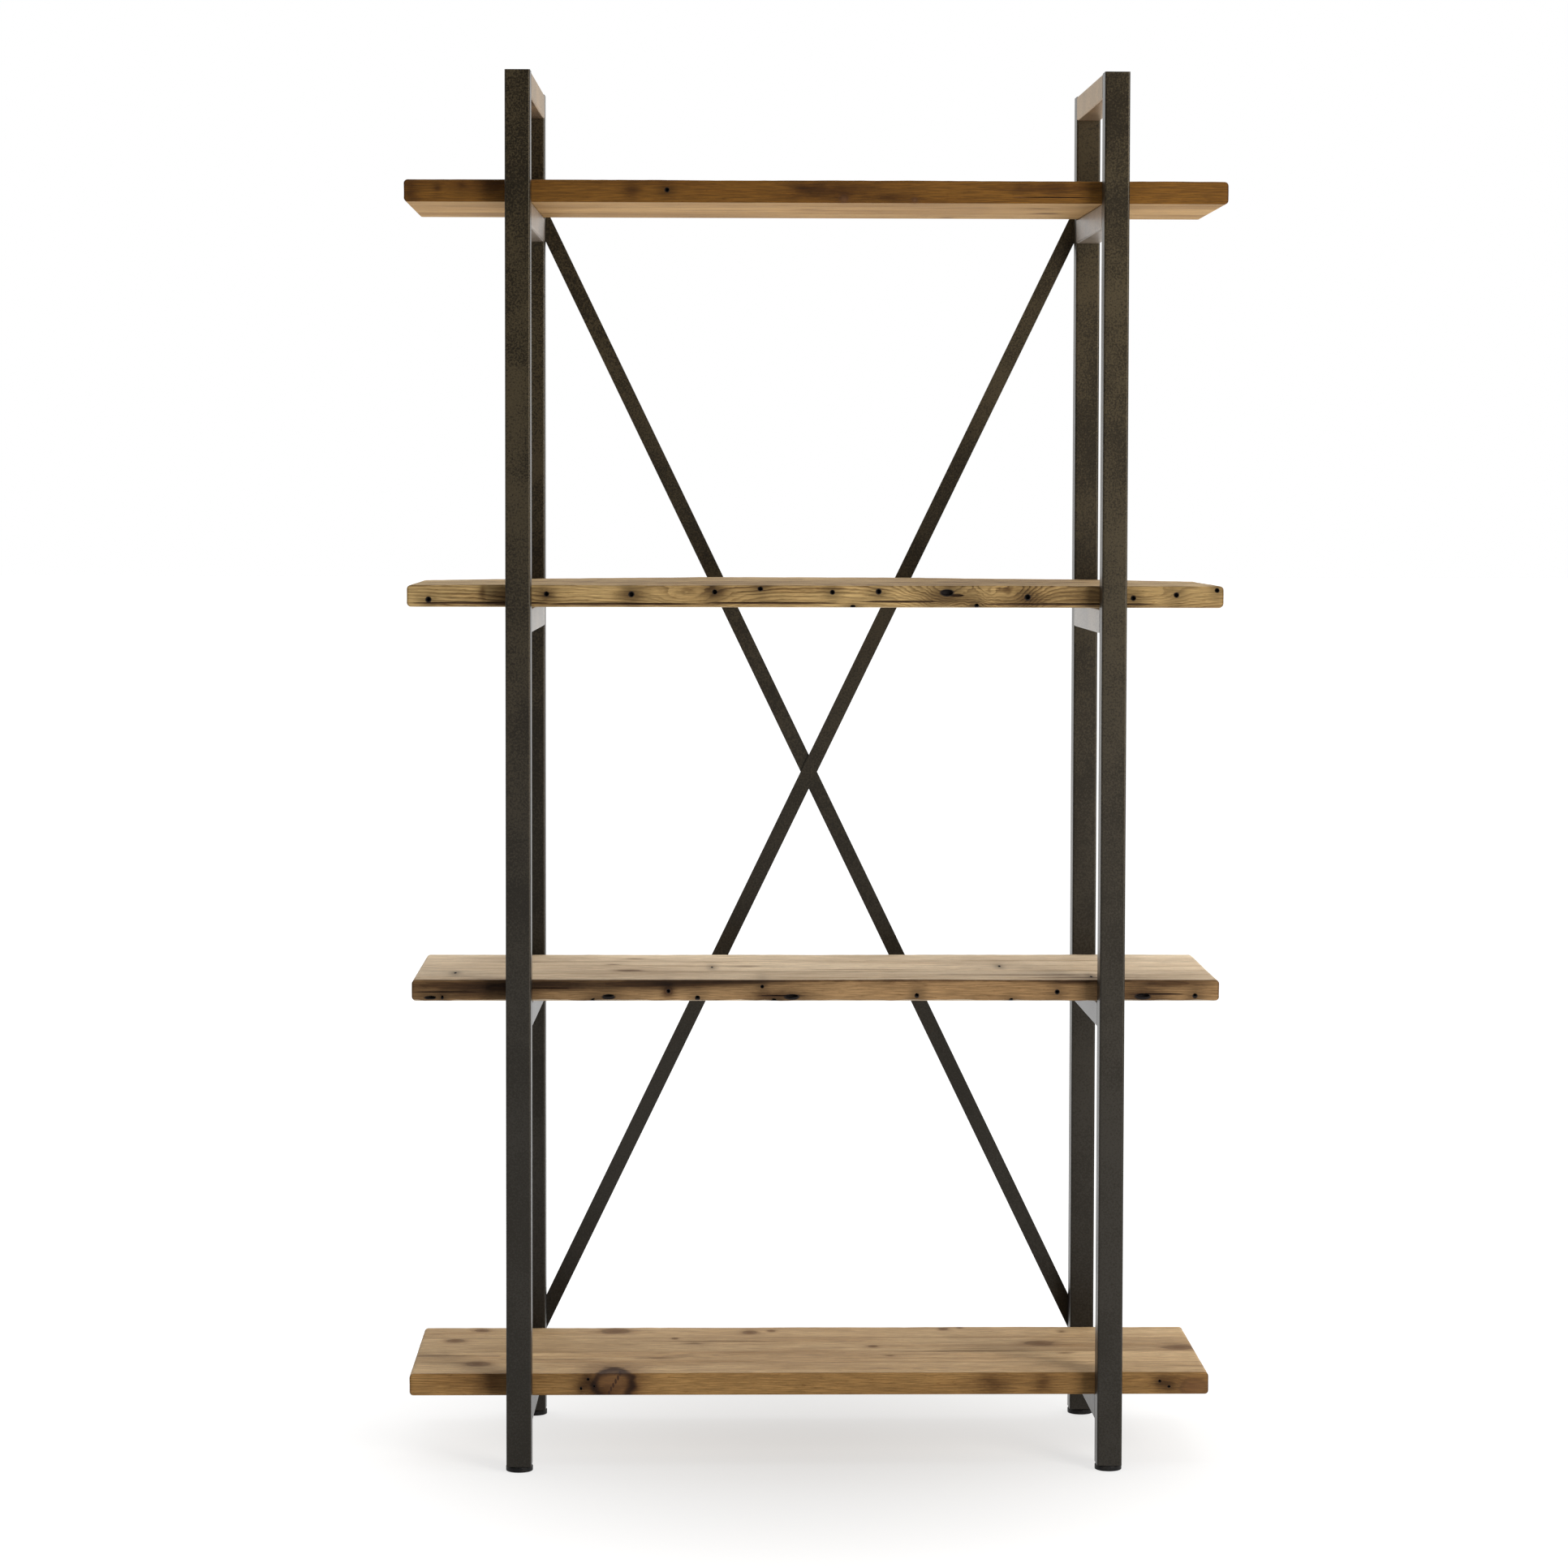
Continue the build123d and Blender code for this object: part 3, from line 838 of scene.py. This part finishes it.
def make_plank(level, tones, edge_tint, grain, marks, ragged=0.0, crown=0.0):
    """All the boards of one plank, each standing for its CAD board and sliding with its plank."""
    nodes = sorted(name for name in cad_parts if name.startswith("plank_" + level))
    boxes = [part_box(node) for node in nodes]
    low = Vector([min(box[0][i] for box in boxes) for i in range(3)])
    high = Vector([max(box[1][i] for box in boxes) for i in range(3)])
    middle = (low.x + high.x) / 2

    def placed(kind, board_low, board_high):
        found = []
        for mark in marks.get(kind, ()):
            centre = Vector((middle, low.y, low.z)) + Vector(mark[:3]) / 1000
            size = Vector(mark[3:]) / 1000
            if board_low.y - size.y < centre.y < board_high.y + size.y:
                found.append((tuple(centre), tuple(size)))
        return found

    chance = random.Random(level)
    for count, (node, (board_low, board_high)) in enumerate(zip(nodes, boxes)):
        first, last = count == 0, count == len(nodes) - 1
        found = {kind: placed(kind, board_low, board_high) for kind in MARK_KINDS}
        board = saw_board(
            node, LONG_EDGE_ROUND if first else GLUE_EASE, LONG_EDGE_ROUND if last else GLUE_EASE,
            (found["nails"], found["checks"]), ragged if first else 0.0,
        )
        if crown:
            weigh_points(board, "crown", lambda p: max(0, 1 - ((p.x - middle) / (high.x - middle)) ** 2) * (
                (p.y - low.y) / (high.y - low.y)) ** 2)
            apply_modifier(
                board, "DISPLACE", strength=crown, mid_level=0, direction="Z", vertex_group="crown"
            )
        pith = (
            (board_low.y + board_high.y) / 2 + chance.uniform(-0.03, 0.03),
            (low.z + high.z) / 2 + chance.choice((-1, 1)) * chance.uniform(0.02, 0.09),
        )
        shade = chance.uniform(0.90, 1.08)
        board.data.materials.clear()
        board.data.materials.append(softwood(
            "softwood_{}_{}".format(level, count + 1), (low, high),
            (-NO_SEAM if first else board_low.y, NO_SEAM if last else board_high.y),
            [tuple(shade * c for c in tone) + (1,) for tone in tones], edge_tint if first else PLAIN_TINT,
            pith, found, grain, chance.uniform(1, 9),
        ))
        bpy.ops.object.select_all(action="DESELECT")
        board.select_set(True)
        bpy.context.view_layer.objects.active = board
        bpy.ops.object.shade_smooth_by_angle(angle=SMOOTH_UNDER)
        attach(board, level + "_plank")
        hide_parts(node)


make_plank(
    "bottom",
    tones=[(0.58, 0.415, 0.235), (0.36, 0.24, 0.13)],
    edge_tint=(0.49, 0.40, 0.26, 1),
    grain=0.45,
    marks={
        "ringed_knots": on_edge(52, (-252, 11, 26, 21)),
        "knots": on_edge(20, (496, 9, 18, 12)) + on_top(
            (-435, 282, 9, 8), (-468, 213, 12, 10), (-430, 62, 16, 14), (-255, 276, 18, 17),
            (-74, 268, 9, 12), (-45, 276, 5, 6), (-175, 224, 4, 5), (88, 171, 6, 6), (188, 287, 6, 8),
            (211, 296, 4, 5), (311, 192, 18, 15), (494, 162, 20, 14),
        ),
        "nails": on_edge(
            4, (-285, 21, 1.6, 1.6), (-294, 9, 1.2, 1.8), (-277, 12, 1.2, 1.2), (451, 17, 1.8, 1.8),
            (463, 10, 1.8, 1.4),
        ),
        "checks": on_top((211, 138, 82, 0.7), (-330, 90, 60, 0.5)),
        "hair_cracks": on_edge(
            16, (-258, 3, 1.4, 3.4), (-255.5, 8, 1.4, 3.4), (-252.5, 13, 1.4, 3.4), (-249.5, 18, 1.4, 3.4),
            (-246.5, 23, 1.4, 3.4), (-244, 28, 1.4, 3.0),
        ),
        "stains": on_edge(
            2, (-229, 12, 7, 15), (-266, 3, 16, 6),
            (-407, 19, 18, 14), (-286, 16, 12, 12), (235, 14, 18, 12), (301, 14, 10, 10), (458, 14, 16, 12),
        ) + on_top(
            (-484, 116, 42, 4), (-198, 97, 20, 6), (-150, 190, 11, 6), (108, 109, 5, 5),
            (340, 127, 8, 6), (347, 269, 4, 6), (-110, 205, 60, 3),
        ),
    },
)

# Lower plank: paler boards, with a dark waney band left along the front edge towards the left end and
# a row of old nail holes near its lower edge, which is chipped.

make_plank(
    "lower",
    tones=[(0.80, 0.66, 0.48), (0.56, 0.43, 0.28)],
    edge_tint=(0.39, 0.30, 0.20, 1),
    grain=0.55,
    marks={
        "knots": on_edge(14, (-189, 14, 5, 5)) + on_top((-241, 108, 14, 9)),
        "wane": on_edge(
            4, (-452, 21.5, 64, 5.5), (-396, 19, 32, 7), (-338, 23.5, 34, 3.5), (-225, 23.5, 48, 4.5),
            (-162, 23.5, 52, 3.2), (-105, 25.5, 44, 1.6), (455, 24, 30, 3), (330, 25.5, 26, 1.8),
        ),
        "nails": on_edge(
            7, (-493, 5.5, 7, 2), (-478, 5.5, 1.8, 1.8), (-266, 6.5, 7.5, 2.6), (-286, 1.5, 3, 1.5),
            (-189, 14, 2, 2.2), (-152, 5, 3, 2.5), (-69, 20, 2, 2), (-31, 6.5, 8, 3), (-54, 2, 3, 1.5),
            (129, 8, 2.5, 2.5), (309, 13, 2.6, 2.6), (250, 2, 2.5, 1.5), (419, 7, 8.5, 3),
            (486, 8, 2.5, 2.5),
        ) + on_top((-466, 83, 1.5, 3), (-133, 148, 1.5, 3), (246, 162, 1.5, 3), (356, 38, 1.5, 3)),
        "checks": on_edge(
            3, (-470, 13, 40, 0.8), (-345, 18, 30, 0.8), (-45, 8, 26, 0.7), (440, 10, 30, 0.8),
        ),
        "stains": on_edge(
            3, (-328, 18, 25, 2), (-60, 27, 120, 1.0), (150, 27.5, 140, 0.8), (370, 27, 110, 1.0),
            (-60, 8, 30, 6), (419, 8, 22, 8), (-440, 10, 40, 6),
        ) + on_top(
            (-263, 179, 7, 6), (-88, 161, 16, 7), (-236, 249, 10, 6), (290, 60, 98, 8), (350, 30, 60, 6),
            (115, 5, 35, 4), (-380, 210, 40, 3), (60, 120, 60, 3),
        ),
    },
    ragged=0.0055,
)

# Upper plank: honey-coloured boards, lifted a little along the back, with a line of nail holes along
# the front edge and a knot hole right of the middle with the grain swirling round it, all black with iron
# staining and painted shade inside, and long checks low on the edge, darkened with painted shade.

make_plank(
    "upper",
    tones=[(0.64, 0.48, 0.27), (0.19, 0.115, 0.055)],
    edge_tint=(0.56, 0.52, 0.40, 1),
    grain=1.0,
    marks={
        "swirls": on_edge(25, (167, 19, 36, 22), (246, 12, 26, 20), (-160, 10, 40, 12), (420, 14, 40, 10)),
        "nails": on_edge(
            7, (-493, 10, 3.2, 3.2), (-343, 17, 3, 3), (-235, 17, 3, 3), (-129, 20, 3, 3), (-71, 24, 3, 2.6),
            (21, 20, 2.6, 2.6), (80, 21, 3, 3), (167, 19.5, 8, 4), (205, 3, 2.6, 2),
            (270, 14, 3.2, 3.2), (405, 13, 3, 3),
            (460, 17, 3, 3), (512, 23, 2.6, 2.6), (47, 2, 3, 1.4),
        ),
        "checks": on_edge(
            3, (-420, 5.5, 80, 1.0), (-240, 4.5, 90, 1.1), (-60, 6, 75, 1.0), (110, 8, 42, 1.0),
            (330, 5, 100, 0.9), (180, 16, 8, 1.6),
        ),
        "stains": on_edge(
            2.5, (-424, 20, 3, 9), (-395, 14, 16, 14), (167, 12, 30, 8), (270, 10, 22, 9), (352, 16, 34, 14),
            (-235, 16, 14, 8), (-129, 19, 14, 7), (-343, 17, 8, 6),
        ) + on_top((-300, 40, 60, 3), (200, 90, 80, 4)),
    },
    ragged=0.003,
    crown=0.005,
)

# Top plank: the darkest front edge of the four, oiled brown with a few sooty patches, over a pale
# sanded underside. One nail hole is left in the edge, a little left of its middle.

make_plank(
    "top",
    tones=[(0.54, 0.34, 0.145), (0.38, 0.22, 0.085)],
    edge_tint=(0.28, 0.20, 0.075, 1),
    grain=0.40,
    marks={
        "knots": on_edge(14, (34, 6, 5, 4.5), (124, 4, 3, 3)) + underneath(
            (306, 188, 14, 10), (181, 280, 8, 6)
        ),
        "nails": on_edge(7, (-190, 16, 2.6, 2.6)),
        "checks": underneath((-120, 150, 60, 0.6)) + on_edge(3, (300, 8, 40, 0.6)),
        "stains": on_edge(
            3, (-234, 16, 9, 8), (-450, 21, 5, 4), (-410, 19, 18, 9), (-15, 17, 14, 7), (27, 15, 40, 8),
            (96, 7, 20, 4), (-480, 17, 4, 4), (-514, 14, 8, 12), (300, 20, 60, 5),
        ) + underneath((-8, 125, 12, 5), (288, 96, 14, 6)),
    },
)
